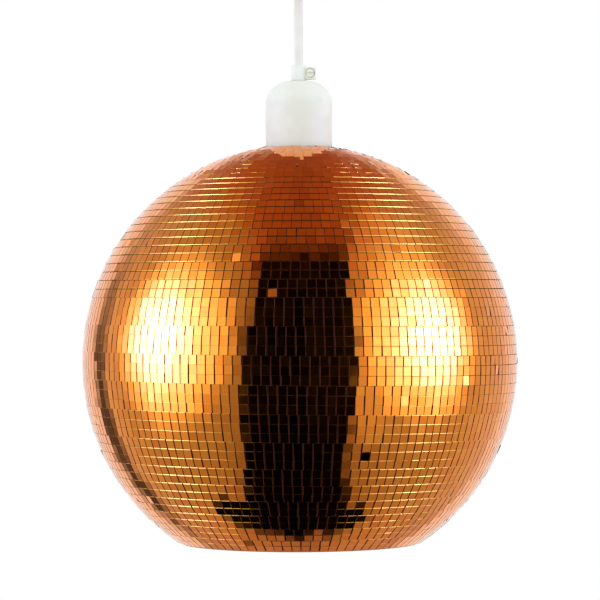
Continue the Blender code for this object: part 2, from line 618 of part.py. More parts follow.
def main():
    for old in list(bpy.data.objects):
        bpy.data.objects.remove(old)
    ceiling_rose()
    cord = cord_and_bush()
    holder = axis_empty("cord_twist_axis", cord, (0, 0, CAP_BASE_Z - PIVOT_Z))
    cord_grip(holder)
    lampholder(holder)
    holder_wiring(holder)
    centre_contact(holder)
    ball = axis_empty("shade_lower_axis", holder, (0, 0, BALL_Z - CAP_BASE_Z))
    shade_shell(ball)
    mirror_strips(ball)
    shade_ring(ball)


main()
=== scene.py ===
"""Looks of the mirror-ball pendant lamp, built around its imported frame."""

import json
import math

import bmesh
import bpy
import numpy as np
from mathutils import Matrix, Vector

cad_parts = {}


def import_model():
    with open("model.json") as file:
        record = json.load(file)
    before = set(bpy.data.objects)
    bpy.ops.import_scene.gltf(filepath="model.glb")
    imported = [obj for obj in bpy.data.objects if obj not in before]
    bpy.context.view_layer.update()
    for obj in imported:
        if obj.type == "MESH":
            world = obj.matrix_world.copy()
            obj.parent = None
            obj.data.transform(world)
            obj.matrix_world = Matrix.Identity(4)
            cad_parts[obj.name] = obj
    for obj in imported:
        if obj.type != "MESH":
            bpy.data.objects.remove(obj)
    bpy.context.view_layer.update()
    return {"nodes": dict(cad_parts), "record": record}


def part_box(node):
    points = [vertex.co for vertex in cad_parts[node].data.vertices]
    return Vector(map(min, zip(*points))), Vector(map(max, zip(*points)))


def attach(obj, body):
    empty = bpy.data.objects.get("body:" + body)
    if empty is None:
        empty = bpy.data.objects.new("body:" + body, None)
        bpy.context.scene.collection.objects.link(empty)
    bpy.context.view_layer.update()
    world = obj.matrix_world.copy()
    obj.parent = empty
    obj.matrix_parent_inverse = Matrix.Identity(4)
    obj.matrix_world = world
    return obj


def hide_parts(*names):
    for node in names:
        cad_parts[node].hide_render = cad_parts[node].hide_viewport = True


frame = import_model()

MM = 0.001
SEED = 27

# Camera: level, in front of the ball, on the photograph's horizon
CAMERA_DISTANCE = 2020 * MM
HORIZON_OVER_BALL = 42.7 * MM
CAMERA_SIDE = 0.3 * MM
CAMERA_ROLL = math.radians(0.2)
LENS = 175.3
SENSOR = 36.0

# Mirror tiles
BALL_RADIUS = 150 * MM
TILE_PITCH = 6.3 * MM
UPRIGHT_GAP = 0.75 * MM  # at the belt; the upright joints close up towards the cap
UPRIGHT_CLOSING = 3  # the power of a strip's girth that they close up with
ROW_GAP = 0.06 * MM
UPPER_ROW_GAP = 0.42 * MM  # between the narrow strips' rows over the belt; wider towards the cap
WIDEST_ROW_GAP = 0.84 * MM
TILE_DEPTH = 1.5 * MM
TILE_SINK = 0.02 * MM  # how far inside the ball's outline a tile's face lies
UPRIGHT_EDGE = 0.06 * MM  # how wide the ground edges are
ROW_EDGES = {2: 0.23 * MM, 3: 0.17 * MM}  # narrow strips have broader edges
NARROW_EDGE = 0.35  # share of that on the edge turned away from the belt
EDGE_BREAK = 0.38  # where along an edge's width its rounding turns steeper
EDGE_DEPTHS = (0.24, 0.76)  # in edge widths
CORNERS = 4
EDGE_RINGS = 3  # of faces: two round the ground edges and one round the sides
LOWER_BREAK = (4, 5)  # a tile's points at the break of its lower edge
UPPER_BREAK = (6, 7)
# Material numbers of a tile's face, of its edges from the lower one round, and of its sides
FACE_MATERIALS = [0] + [1, 2, 1, 2] * 2 + [2] * 4
STRIP_ROWS = [2] * 13 + [3] * 6 + [2] * 6
COLUMN_LEAN = math.radians(0.5)
TILE_LEAN = math.radians(0.3)
STRAY_LEAN = math.radians(3.0)
STRAY_SHARE = 0.03
CROWN = math.radians(32)  # the strips round the cap are laid less evenly
CROWN_LEAN = 3.0
CROWN_TILT = math.radians(6.0)
ROW_STIFFNESS = math.radians(-0.9)  # a strip's rows follow the ball's curve only in part
TWIST = math.radians(0.5)
ROW_SHIFT = 0.03 * MM
UPRIGHT_SHIFT = 0.17  # in upright gaps
STRIP_SLANT = math.radians(0.95)  # the belt's strips run a little down to the right
SLANT_MIDDLE = -30 * MM
SLANT_SPREAD = 55 * MM

# Lampholder threads
THREAD_PITCH = 2.5 * MM
SKIRT_THREAD_DEPTH = 0.6 * MM
SKIRT_SHOULDER = 0.65 * MM
SKIRT_WALL = 3.25 * MM
SKIRT_IN_CAP = 17.2 * MM
LEDGE_WIDTH = 1.8 * MM
LEDGE_DROP = 16.0 * MM
MOUTH_EDGE = 0.5 * MM
LAMP_PITCH = 3.63 * MM
LAMP_THREAD_DEPTH = 0.7 * MM
SHELL_FLANGE = 4.1 * MM
SHEET = 0.4 * MM
THREAD_STEPS = 8

# Turned and moulded pieces
SIDES = 120
CURVE_STEPS = 24
EDGE_STEPS = 4
SHARP_ANGLE = math.radians(35)
CORD_POINTS = 16
CORD_ROUNDNESS = 8
SOFT_EDGE = 0.4 * MM
CAP_SIDE = 30.9 * MM
CAP_SHOULDER = 16.0 * MM
CAP_FLAT = 4.5 * MM
CAP_HOLE = 5.2 * MM
CAP_WALL = 2.2 * MM
NECK_BORE = 3.3 * MM
NECK_RADIUS = 5.25 * MM
NECK_SLOPE = 1.2 * MM
NECK_SEAT = 0.3 * MM
NIPPLE_RADIUS = 4.9 * MM
LUG_DEPTH = 8.0 * MM
LUG_HEIGHTS = (1.0 * MM, 9.3 * MM)
LUG_EDGE = 0.5 * MM
BOSS_RADIUS = 4.1 * MM
POCKET_RADIUS = 3.4 * MM
POCKET_DEPTH = 2.3 * MM
SCREW_HEAD = 6.2 * MM
SCREW_HEAD_HEIGHT = 2.0 * MM
SCREW_EDGE = 0.5 * MM
SCREW_SLOT = 1.0 * MM
SCREW_SHANK = 3.0 * MM
SCREW_ROOM = 0.3 * MM
SPLIT_WIDTH = 0.8 * MM
SPLIT_RISE = 0.65 * MM
COVER_WALL = 2.2 * MM
COVER_FLAT = 16.0 * MM
COVER_CURVE = 16.0 * MM
PIVOT_RISE = 3.0 * MM
BUSH_SEAT = 7.3 * MM
BUSH_BOSS = 11.0 * MM
BUSH_BOSS_RISE = 4.0 * MM
BUSH_RADIUS = 7.0 * MM
BUSH_WAIST = 3.4 * MM
BUSH_BELOW = 4.6 * MM
BUSH_ABOVE = 4.2 * MM
BUSH_CROWN = 0.3 * MM
BUSH_FLARE = math.tan(math.radians(11))
RING_WALL = 4.4 * MM
RING_FLANGE = 3.0 * MM
RING_FLANGE_HEIGHT = 4.0 * MM
RING_FLUTES = 20
RING_FLUTE = 0.8 * MM
RIM_COLOUR = (1.5 * MM, 2.5 * MM)  # how far up the shade its rim's lighter copper fades
COLOUR_DEPTHS = (5.2 * MM, 4.6 * MM)  # where the shade's white turns to copper, under the tiles' faces
SHADE_RADIUS = 147.6 * MM
SHADE_BORE = 144.6 * MM
SHADE_LIP = 149.4 * MM
SHADE_LIP_HEIGHT = 1.2 * MM
SHADE_COLLAR = 24.2 * MM
SHADE_HOLE = 20.4 * MM
SHADE_NECK = 29.3 * MM
SHADE_NECK_DEPTH = 5.4 * MM

# Studio tent as mirrors see it: x to the side, y away from the camera, z up
SOFTBOX_PLACE = (0.93, -0.29, 0.17)
LAMP_PLACE = (0.97, -0.20, 0.18)
RIGHT_FORWARD = 0.08  # the right softbox stands nearer the camera
SOFTBOX_EDGE = (math.radians(43), math.radians(22))
SOFTBOX_POWER = 1.5
LAMP_SPREAD = math.radians(14.5)
LAMP_POWER = 8.0
WALL_LIGHT = 0.06
WALL_SIDE_RISE = 0.58
WALL_BACK = 0.15
WALL_BACK_RISE = 0.65
ROOF_HEIGHTS = (0.45, 0.8)
ROOF_LIGHT = 0.28
ROOF_RISE = 0.38  # the roof is lighter to the sides
RIGHT_ROOF = 0.3  # the right softbox reaches up to the roof
RIGHT_ROOF_SPAN = (0.3, 0.55)
RIGHT_ROOF_DEPTHS = (0.4, 0.05)
WING_LIGHT = 0.36  # the right softbox's inner wing, beside the screen
WING_SPAN = (0.0, 0.1)
WING_MIDDLE = 0.05
WING_HEIGHTS = (0.95, 0.45)
WING_DEPTHS = (-0.4, -0.75)
FLOOR_HEIGHTS = (-0.68, -0.9)
FLOOR_LIGHT = 0.18
FLOOR_DEPTHS = (-0.1, 0.3)
FLOOR_FRONT = 0.35  # share of that light on the floor nearer the camera
WHITE = (1.0, 1.0, 1.0, 1.0)
WARM = (1.0, 0.42, 0.28, 1.0)  # the middle of the roof
WALL_WARM = 0.35
WARM_SPAN = (0.65, 0.25)
COOL = (1.0, 1.22, 3.9, 1.0)  # the softboxes' middles
COOL_LIGHT = (1.2, 4.0)
FRAME_EDGE = (0.50, 0.62)  # the backdrop's dark frame
FRAME_SHADE = 0.12
FRAME_TOP = (0.75, -0.15)
FRAME_FOOT = (-0.68, -0.55)
FRAME_SIDE = (-0.2, -0.3)
BACKDROP_EDGE = (0.69, 0.77)
OVERHANG = 0.16  # the roof hides the backdrop's top
OVERHANG_SPAN = (0.42, 0.15)
OVERHANG_HEIGHTS = (0.0, 0.3)
SCREEN_HALF = 0.485  # black screen round the camera
SCREEN_TOP = 0.25
SCREEN_FOOT = -0.3
SCREEN_TOP_TAPER = 0.26
SCREEN_FOOT_TAPER = 0.2
SCREEN_EDGE = 0.03
SCREEN_BLACK = 0.993  # share of the light that it keeps back
SCREEN_LEAN = 0.045
SCREEN_DEPTH = (0.26, 0.16)
SCREEN_END = (1.0, 0.77)
BASE_DEPTH = (-0.08, 0.20)  # the screen's base on the floor
BASE_MIDDLE = -0.07
BASE_HALF = 0.53
BASE_EDGE = 0.03
FLOOR_DROP = 2.4
FLOOR_RADIUS = 4.0
FLOOR_SIDES = 64

# Colours, most of them as a darker and a lighter tone
WHITE_PLASTIC = (0.90, 0.945, 0.875, 1.0)
CORD_SHEATH = (0.90, 0.91, 0.86, 1.0)
NYLON = (0.85, 0.86, 0.72, 1.0)
HEATPROOF = (0.80, 0.78, 0.72, 1.0)
BRASS = (0.72, 0.48, 0.18, 1.0)
NICKEL = (0.66, 0.63, 0.57, 1.0)
BROWN_CORE = (0.20, 0.09, 0.04, 1.0)
BLUE_CORE = (0.05, 0.12, 0.40, 1.0)
MIRROR_TONES = ((0.90, 0.23, 0.008, 1.0), (0.98, 0.31, 0.020, 1.0))
EDGE_TONES = ((0.90, 0.45, 0.045, 1.0), (0.96, 0.53, 0.075, 1.0))
SIDE_TONES = ((0.13, 0.028, 0.010, 1.0), (0.24, 0.058, 0.022, 1.0))
INSIDE_TONES = ((0.78, 0.77, 0.74, 1.0), (0.86, 0.85, 0.82, 1.0))
# the shell's copper between the tiles, darker than at the rim: partly painted shade in the narrow gaps
GAP_SHADE_TONES = ((0.10, 0.028, 0.012, 1.0), (0.16, 0.048, 0.022, 1.0))
RIM_TONE = (0.40, 0.15, 0.05, 1.0)
FLOOR_TONES = ((0.82, 0.82, 0.81, 1.0), (0.86, 0.86, 0.85, 1.0))

# Surfaces: each noise by how many waves it has to a metre
NOISE_SPAN = (0.3, 0.7)  # most of a noise lies in this
CLOUDS = 60.0
CLOUD_SPAN = (0.35, 0.65)
CLOUD_SHADE = 0.94
GLOSS_PATCHES = 90.0
GLOSS_SPREAD = 0.05
GRAIN_BUMP = 0.25
HANDLING_MARKS = 700.0
MARK_SPREAD = 0.15
MARK_BUMP = 0.1
MARK_DEPTH = 0.05 * MM
SILVERING = 25.0
TILE_SHARE = 0.8  # of a tile's colour is its own, the rest comes from the silvering
SILVERING_SHARE = 0.2
GLASS_WAVES = 55.0
GLASS_BUMP = 0.12
GLASS_WAVE_DEPTH = 0.25 * MM
GLASS_ROUGHNESS = (0.03, 0.08)
CHIPS = 1500.0
EDGE_ROUGHNESS = (0.12, 0.18)
SIDE_ROUGHNESS = (0.4, 0.6)
SHADE_CLOUDS = 30.0
SHADE_GRAIN = 900.0
SHADE_BUMP = 0.2
SHADE_GRAIN_DEPTH = 0.05 * MM
FLOOR_CLOUDS = 4.0

# Sockets of the mix node, by number because their names repeat
VALUE_MIX = (0, 2, 3)
VALUE_MIXED = 0
COLOUR_MIX = (0, 6, 7)
COLOUR_MIXED = 2

opening = frame["record"]["physics"]["openings"][0]["box_m"]
BALL_CENTRE = (np.array(opening[0]) + np.array(opening[1])) / 2
random = np.random.default_rng(SEED)
AROUND = math.tau * np.arange(SIDES) / SIDES


class Nodes:
    """A short way to write shader nodes: most calls add one node and give what comes out of it."""

    def __init__(self, tree):
        self.tree = tree
        tree.nodes.clear()

    def add(self, kind, **settings):
        node = self.tree.nodes.new(kind)
        for name, value in settings.items():
            setattr(node, name, value)
        return node

    def link(self, value, socket):
        if isinstance(value, bpy.types.NodeSocket):
            self.tree.links.new(value, socket)
        else:
            socket.default_value = value

    def place(self):
        return self.add("ShaderNodeTexCoord").outputs["Object"]

    def math(self, operation, *values):
        node = self.add("ShaderNodeMath", operation=operation)
        for value, socket in zip(values, node.inputs):
            self.link(value, socket)
        return node.outputs[0]

    def plus(self, first, second):
        return self.math("ADD", first, second)

    def minus(self, first, second):
        return self.math("SUBTRACT", first, second)

    def times(self, first, second):
        return self.math("MULTIPLY", first, second)

    def over(self, first, second):
        return self.math("DIVIDE", first, second)

    def size(self, value):
        return self.math("ABSOLUTE", value)

    def at_least(self, value, least):
        return self.math("MAXIMUM", value, least)

    def ramp(self, value, low, high, to_low=0.0, to_high=1.0):
        node = self.add("ShaderNodeMapRange", interpolation_type="SMOOTHSTEP")
        for socket, given in zip(node.inputs, (value, low, high, to_low, to_high)):
            self.link(given, socket)
        return node.outputs[0]

    def mix(self, share, first, second):
        node = self.add("ShaderNodeMix", data_type="RGBA")
        for number, value in zip(COLOUR_MIX, (share, first, second)):
            self.link(value, node.inputs[number])
        return node.outputs[COLOUR_MIXED]

    def blend(self, share, first, second):
        node = self.add("ShaderNodeMix")
        for number, value in zip(VALUE_MIX, (share, first, second)):
            self.link(value, node.inputs[number])
        return node.outputs[VALUE_MIXED]

    def noise(self, coordinates, scale, detail=3.0):
        node = self.add("ShaderNodeTexNoise")
        node.inputs["Scale"].default_value = scale
        node.inputs["Detail"].default_value = detail
        self.link(coordinates, node.inputs["Vector"])
        return node.outputs[0]

    def bump(self, height, strength, distance):
        node = self.add("ShaderNodeBump")
        node.inputs["Strength"].default_value = strength
        node.inputs["Distance"].default_value = distance
        self.link(height, node.inputs["Height"])
        return node.outputs[0]

    def angle_from(self, direction, place):
        facing = self.add("ShaderNodeVectorMath", operation="DOT_PRODUCT")
        self.link(direction, facing.inputs[0])
        self.link(Vector(place).normalized(), facing.inputs[1])
        return self.math("ARCCOSINE", self.math("MINIMUM", facing.outputs["Value"], 1.0))

    def principled(self, **inputs):
        shader = self.add("ShaderNodeBsdfPrincipled")
        for name, value in inputs.items():
            self.link(value, shader.inputs[name.replace("_", " ")])
        output = self.add("ShaderNodeOutputMaterial")
        self.tree.links.new(shader.outputs[0], output.inputs["Surface"])
        return shader


def material(name):
    """A new material and its empty node tree."""
    made = bpy.data.materials.new(name)
    made.use_nodes = True
    return made, Nodes(made.node_tree)


def plastic(name, colour, roughness, grain, depth):
    """Moulded plastic: fine grain, a faint unevenness of colour, and soft gloss."""
    made, nodes = material(name)
    place = nodes.place()
    cloud = nodes.noise(place, CLOUDS, detail=2.0)
    darker = tuple(CLOUD_SHADE * part for part in colour[:3]) + (1.0,)
    tone = nodes.mix(nodes.ramp(cloud, *CLOUD_SPAN), darker, colour)
    skin = nodes.bump(nodes.noise(place, grain), GRAIN_BUMP, depth)
    patches = nodes.noise(place, GLOSS_PATCHES, detail=2.0)
    gloss = nodes.ramp(patches, *NOISE_SPAN, roughness - GLOSS_SPREAD, roughness + GLOSS_SPREAD)
    nodes.principled(Base_Color=tone, Roughness=gloss, Normal=skin, IOR=1.48, Specular_IOR_Level=0.2)
    return made


def metal(name, colour, roughness):
    """Drawn or stamped metal with light handling marks."""
    made, nodes = material(name)
    marks = nodes.noise(nodes.place(), HANDLING_MARKS, detail=4.0)
    gloss = nodes.ramp(marks, *NOISE_SPAN, roughness, roughness + MARK_SPREAD)
    skin = nodes.bump(marks, MARK_BUMP, MARK_DEPTH)
    nodes.principled(Base_Color=colour, Metallic=1.0, Roughness=gloss, Normal=skin)
    return made


def copper_mirror():
    """Copper-backed mirror glass: each tile has its own tone under a clear coat."""
    made, nodes = material("copper_mirror_glass")
    tone = nodes.add("ShaderNodeAttribute", attribute_name="tile_tone").outputs["Fac"]
    place = nodes.place()
    silvering = nodes.noise(place, SILVERING)
    share = nodes.plus(nodes.times(tone, TILE_SHARE), nodes.times(silvering, SILVERING_SHARE))
    waves = nodes.noise(place, GLASS_WAVES, detail=1.0)
    nodes.principled(
        Base_Color=nodes.mix(share, *MIRROR_TONES),
        Metallic=1.0,
        Roughness=nodes.ramp(tone, 0.0, 1.0, *GLASS_ROUGHNESS),
        Normal=nodes.bump(waves, GLASS_BUMP, GLASS_WAVE_DEPTH),
        Coat_Weight=0.45,
        Coat_Roughness=0.03,
        Coat_IOR=1.5,
        Specular_Tint=(1.0, 0.95, 0.90, 1.0),
    )
    return made


def row_edges():
    """The tiles' upper and lower edges, flamed smooth enough to glint."""
    made, nodes = material("smooth_tile_edge")
    chips = nodes.noise(nodes.place(), CHIPS, detail=2.0)
    colour = nodes.mix(chips, *EDGE_TONES)
    roughness = nodes.ramp(chips, *NOISE_SPAN, *EDGE_ROUGHNESS)
    nodes.principled(Base_Color=colour, Metallic=1.0, Roughness=roughness)
    return made


def tile_sides():
    """The tiles' cut sides, dull glass over the copper."""
    made, nodes = material("cut_tile_side")
    chips = nodes.noise(nodes.place(), CHIPS, detail=2.0)
    colour = nodes.mix(chips, *SIDE_TONES)
    roughness = nodes.ramp(chips, *NOISE_SPAN, *SIDE_ROUGHNESS)
    nodes.principled(Base_Color=colour, Roughness=roughness, Specular_IOR_Level=0.25)
    return made


def shade_plastic():
    """Copper that is darker between the tiles, partly painted shade in the gaps, lighter at the rim, and
    white inside.
    """
    made, nodes = material("shade_plastic")
    place = nodes.place()
    from_ball = nodes.add("ShaderNodeVectorMath", operation="DISTANCE")
    nodes.link(place, from_ball.inputs[0])
    nodes.link(tuple(BALL_CENTRE), from_ball.inputs[1])
    white_end, copper_start = (BALL_RADIUS - depth for depth in COLOUR_DEPTHS)
    outside = nodes.ramp(from_ball.outputs["Value"], white_end, copper_start)
    cloud = nodes.noise(place, SHADE_CLOUDS)
    inner = nodes.mix(cloud, *INSIDE_TONES)
    height = nodes.add("ShaderNodeSeparateXYZ")
    nodes.link(place, height.inputs[0])
    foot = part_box("shade_shell")[0][2]
    rim = nodes.ramp(height.outputs["Z"], foot + RIM_COLOUR[1], foot + RIM_COLOUR[0])
    # painted shade in part: the copper between the tiles is a darker copy of the rim's copper
    outer = nodes.mix(rim, nodes.mix(cloud, *GAP_SHADE_TONES), RIM_TONE)
    skin = nodes.bump(nodes.noise(place, SHADE_GRAIN), SHADE_BUMP, SHADE_GRAIN_DEPTH)
    nodes.principled(Base_Color=nodes.mix(outside, inner, outer), Roughness=0.45, Normal=skin)
    return made


def piece(name, vertices, faces, made, smooth=True):
    """A new mesh object of the given points and faces."""
    mesh = bpy.data.meshes.new(name)
    mesh.from_pydata(vertices, [], faces)
    mesh.materials.append(made)
    if smooth:
        mesh.shade_smooth()
        mesh.set_sharp_from_angle(angle=SHARP_ANGLE)
    else:
        mesh.shade_flat()
    made_object = bpy.data.objects.new(name, mesh)
    bpy.context.scene.collection.objects.link(made_object)
    return made_object


def fitted(made_object, body, node):
    """Puts a piece on its body in place of a CAD node."""
    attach(made_object, body)
    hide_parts(node)


def tile_shape(top_width, foot_width, height, row_edge, broad_side):
    """One tile about its own middle: x across, y up, z out of its face, with ground edges."""
    depths = [-share * row_edge for share in EDGE_DEPTHS]
    rings = ((1.0, 0.0), (EDGE_BREAK, depths[0]), (0.0, depths[1]), (0.0, -TILE_DEPTH))
    corners = ((-1, -1, foot_width), (1, -1, foot_width), (1, 1, top_width), (-1, 1, top_width))
    points = []
    for ground, depth in rings:
        for across, up, width in corners:
            edge = row_edge if up == broad_side else row_edge * NARROW_EDGE
            reach = width / 2 - ground * UPRIGHT_EDGE
            points.append((across * reach, up * (height / 2 - ground * edge), depth))
    return np.array(points)


def tile_faces():
    """A tile's face, then its ground edges and its sides."""
    faces = [tuple(range(CORNERS))]
    for ring in range(EDGE_RINGS):
        start = ring * CORNERS
        below = start + CORNERS
        for corner in range(CORNERS):
            after = (corner + 1) % CORNERS
            faces.append((start + corner, below + corner, below + after, start + after))
    return np.array(faces)


def leans(rows, count, uneven):
    """Small leans of hand-laid tiles: a column of a strip leans as one, each tile a little more."""
    total = rows * count
    lean = np.tile(random.normal(0.0, COLUMN_LEAN, (count, 2)), (rows, 1))
    lean += random.normal(0.0, TILE_LEAN, (total, 2))
    lean *= uneven
    strays = random.random(total) < STRAY_SHARE
    lean[strays] += random.normal(0.0, STRAY_LEAN, (int(strays.sum()), 2))
    stiff = (np.repeat(np.arange(rows), count) - (rows - 1) / 2) * ROW_STIFFNESS
    lean[:, 1] -= stiff
    return lean


def slanted(polar, azimuth):
    """The polar angle of a point once its strip's slant is added."""
    height = BALL_RADIUS * np.cos(polar)
    slant = STRIP_SLANT * np.exp(-(((height - SLANT_MIDDLE) / SLANT_SPREAD) ** 2))
    return polar + slant * np.cos(azimuth)


def round_over(mesh, tile_points):
    """Shades the two steps of each upper and lower tile edge as one rounding."""
    ends = np.empty(2 * len(mesh.edges), int)
    mesh.edges.foreach_get("vertices", ends)
    ends = np.sort(ends.reshape(-1, 2) % tile_points, axis=1)
    along_row = np.logical_or((ends == LOWER_BREAK).all(1), (ends == UPPER_BREAK).all(1))
    mesh.shade_smooth()
    mesh.edges.foreach_set("use_edge_sharp", ~along_row)


def tile_places(polar, azimuth, rows, upright_gap, crown):
    """Middles and axes of a strip's tiles about the ball's centre, each a little out of true."""
    total = len(polar)
    out = np.stack([np.sin(polar) * np.cos(azimuth), np.sin(polar) * np.sin(azimuth), np.cos(polar)], 1)
    across = np.stack([-np.sin(azimuth), np.cos(azimuth), np.zeros(total)], 1)
    up = np.cross(out, across)
    middle = out * (BALL_RADIUS - TILE_SINK)
    middle = middle + across * random.normal(0, UPRIGHT_SHIFT * upright_gap, (total, 1))
    middle = middle + up * random.normal(0, ROW_SHIFT, (total, 1))
    lean = leans(rows, total // rows, CROWN_LEAN if crown else 1.0)
    if crown:
        lean[:, 1] -= CROWN_TILT
    out = out + across * lean[:, :1] + up * lean[:, 1:]
    out /= np.linalg.norm(out, axis=1, keepdims=True)
    across = across + up * random.normal(0, TWIST, (total, 1))
    across -= out * (across * out).sum(1, keepdims=True)
    across /= np.linalg.norm(across, axis=1, keepdims=True)
    return middle, np.stack([across, np.cross(out, across), out], 1)


def mirror_strip(name, top, row_angle, rows, made, edges):
    """One ring of mirror strip: rows of separate tiles whose upright joints line up."""
    girth = math.tau * BALL_RADIUS * math.sin(top + rows * row_angle / 2)
    count = round(girth / TILE_PITCH)
    total = rows * count
    step = math.tau / count
    phase = random.random() * step
    over_belt = top < math.pi / 2
    row_gap = ROW_GAP
    if over_belt and rows == min(STRIP_ROWS):
        row_gap = min(UPPER_ROW_GAP / math.sin(top), WIDEST_ROW_GAP)
    upright_gap = UPRIGHT_GAP
    if over_belt:
        upright_gap *= math.sin(top) ** UPRIGHT_CLOSING

    height = row_angle * BALL_RADIUS - row_gap
    lines = top + row_angle * np.arange(rows + 1)
    widths = np.sin(lines) * BALL_RADIUS * step - upright_gap
    broad_side = -1 if over_belt else 1
    shapes = []
    for row in range(rows):
        shapes.append(tile_shape(widths[row], widths[row + 1], height, ROW_EDGES[rows], broad_side))
    shape = np.repeat(np.array(shapes), count, axis=0)
    azimuth = np.tile(phase + step * np.arange(count), rows)
    polar = slanted(top + row_angle * (np.repeat(np.arange(rows), count) + 0.5), azimuth)
    middle, axes = tile_places(polar, azimuth, rows, upright_gap, top < CROWN)
    points = middle[:, None, :] + np.einsum("tpk,tkd->tpd", shape, axes) + BALL_CENTRE

    faces = tile_faces()
    tile_points = shape.shape[1]
    corners = faces[None] + (tile_points * np.arange(total))[:, None, None]
    vertices = points.reshape(-1, 3).tolist()
    strip = piece(name + "_tiles", vertices, corners.reshape(-1, 4).tolist(), made, smooth=False)
    tones = strip.data.attributes.new("tile_tone", "FLOAT", "FACE")
    tones.data.foreach_set("value", np.repeat(random.random(total), len(faces)))
    for other in edges:
        strip.data.materials.append(other)
    strip.data.polygons.foreach_set("material_index", np.tile(FACE_MATERIALS, total))
    round_over(strip.data, tile_points)
    fitted(strip, "shade", name)


def mirror_strips(made, edges):
    """Every strip from the collar down to the rim, laid in rows of one height."""
    names = sorted(node for node in frame["nodes"] if node.startswith("mirror_strip"))
    top = math.acos((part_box(names[0])[1][2] - BALL_CENTRE[2]) / BALL_RADIUS)
    rim = math.acos((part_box(names[-1])[0][2] - BALL_CENTRE[2]) / BALL_RADIUS)
    row_angle = (rim - top) / sum(STRIP_ROWS)
    laid = 0
    for name, rows in zip(names, STRIP_ROWS):
        mirror_strip(name, top + laid * row_angle, row_angle, rows, made, edges)
        laid += rows


def arc(centre, radii, start, end):
    """(radius, height) points on an elliptical arc, at angles in degrees from +radius to +height."""
    angles = np.radians(np.linspace(start, end, CURVE_STEPS))
    across = centre[0] + radii[0] * np.cos(angles)
    up = centre[1] + radii[1] * np.sin(angles)
    return list(zip(across, up))


def turned(name, outline, made, closed=True):
    """A turned piece from its (radius, height) outline, taken up the outside and down the inside."""
    vertices = []
    for radius, height in outline:
        reach = np.broadcast_to(radius, SIDES)
        ring = np.stack([reach * np.cos(AROUND), reach * np.sin(AROUND), np.full(SIDES, height)], 1)
        vertices += ring.tolist()
    levels = len(outline)
    faces = []
    for ring in range(levels if closed else levels - 1):
        above = (ring + 1) % levels
        for side in range(SIDES):
            after = (side + 1) % SIDES
            corners = ((ring, side), (ring, after), (above, after), (above, side))
            faces.append([level * SIDES + place for level, place in corners])
    if not closed:
        faces.append(list(range(SIDES))[::-1])
        faces.append(list(range((levels - 1) * SIDES, levels * SIDES)))
    return piece(name, vertices, faces, made)


def thread_run(radius, start, end, pitch, depth):
    """Points along a threaded wall: a helix cut in by depth that fades in and out at the ends."""
    steps = max(2, round(abs(end - start) / pitch * THREAD_STEPS))
    run = []
    for step in range(steps + 1):
        share = step / steps
        height = start + (end - start) * share
        fade = min(1.0, share * steps / THREAD_STEPS, (1 - share) * steps / THREAD_STEPS)
        wave = 0.5 + 0.5 * np.sin(AROUND + math.tau * height / pitch)
        run.append((radius - depth * wave * fade, height))
    return run


def block(name, low, high, made, edge=0.0):
    """A box between two corners, its edges rounded."""
    shape = bmesh.new()
    bmesh.ops.create_cube(shape, size=1.0)
    for corner in shape.verts:
        corner.co = [near + (far - near) * (part + 0.5) for near, far, part in zip(low, high, corner.co)]
    if edge:
        edges = shape.edges[:]
        bmesh.ops.bevel(shape, geom=edges, offset=edge, segments=EDGE_STEPS, profile=0.5, affect="EDGES")
    made_object = piece(name, [], [], made)
    shape.to_mesh(made_object.data)
    shape.free()
    return made_object


def combined(base, operation, tool):
    """Joins a tool to a piece or cuts it away."""
    step = base.modifiers.new(operation, "BOOLEAN")
    step.operation = operation
    step.solver = "EXACT"
    step.object = tool
    seen = base.evaluated_get(bpy.context.evaluated_depsgraph_get())
    base.data = bpy.data.meshes.new_from_object(seen)
    base.modifiers.clear()
    bpy.data.objects.remove(tool)
    base.data.shade_smooth()
    base.data.set_sharp_from_angle(angle=SHARP_ANGLE)


def lampholder_threads(white, nickel):
    """The skirt's outer thread, which the shade's ring runs on, and the lamp's rolled thread inside it."""
    low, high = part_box("holder_skirt")
    crown = high[0]
    wall = crown - SKIRT_SHOULDER
    bore = wall - SKIRT_WALL
    ledge = bore + LEDGE_WIDTH
    shoulder = high[2] - SKIRT_IN_CAP
    ledge_height = high[2] - LEDGE_DROP
    mouth = low[2] + MOUTH_EDGE
    outline = [(bore, low[2]), (wall - MOUTH_EDGE, low[2])]
    outline += thread_run(wall, mouth, shoulder - MOUTH_EDGE, THREAD_PITCH, SKIRT_THREAD_DEPTH)
    outline += [(wall, shoulder), (crown, shoulder), (crown, high[2])]
    outline += [(ledge, high[2]), (ledge, ledge_height), (bore, ledge_height)]
    fitted(turned("skirt", outline, white), "lampholder", "holder_skirt")

    low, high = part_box("screw_shell")
    outer = high[0]
    flange_bore = outer - SHELL_FLANGE
    under = high[2] - SHEET
    outline = thread_run(outer - SHEET, under, low[2], LAMP_PITCH, LAMP_THREAD_DEPTH)
    outline += thread_run(outer, low[2], high[2], LAMP_PITCH, LAMP_THREAD_DEPTH)
    outline += [(flange_bore, high[2]), (flange_bore, under)]
    fitted(turned("lamp_thread", outline, nickel), "lampholder", "screw_shell")


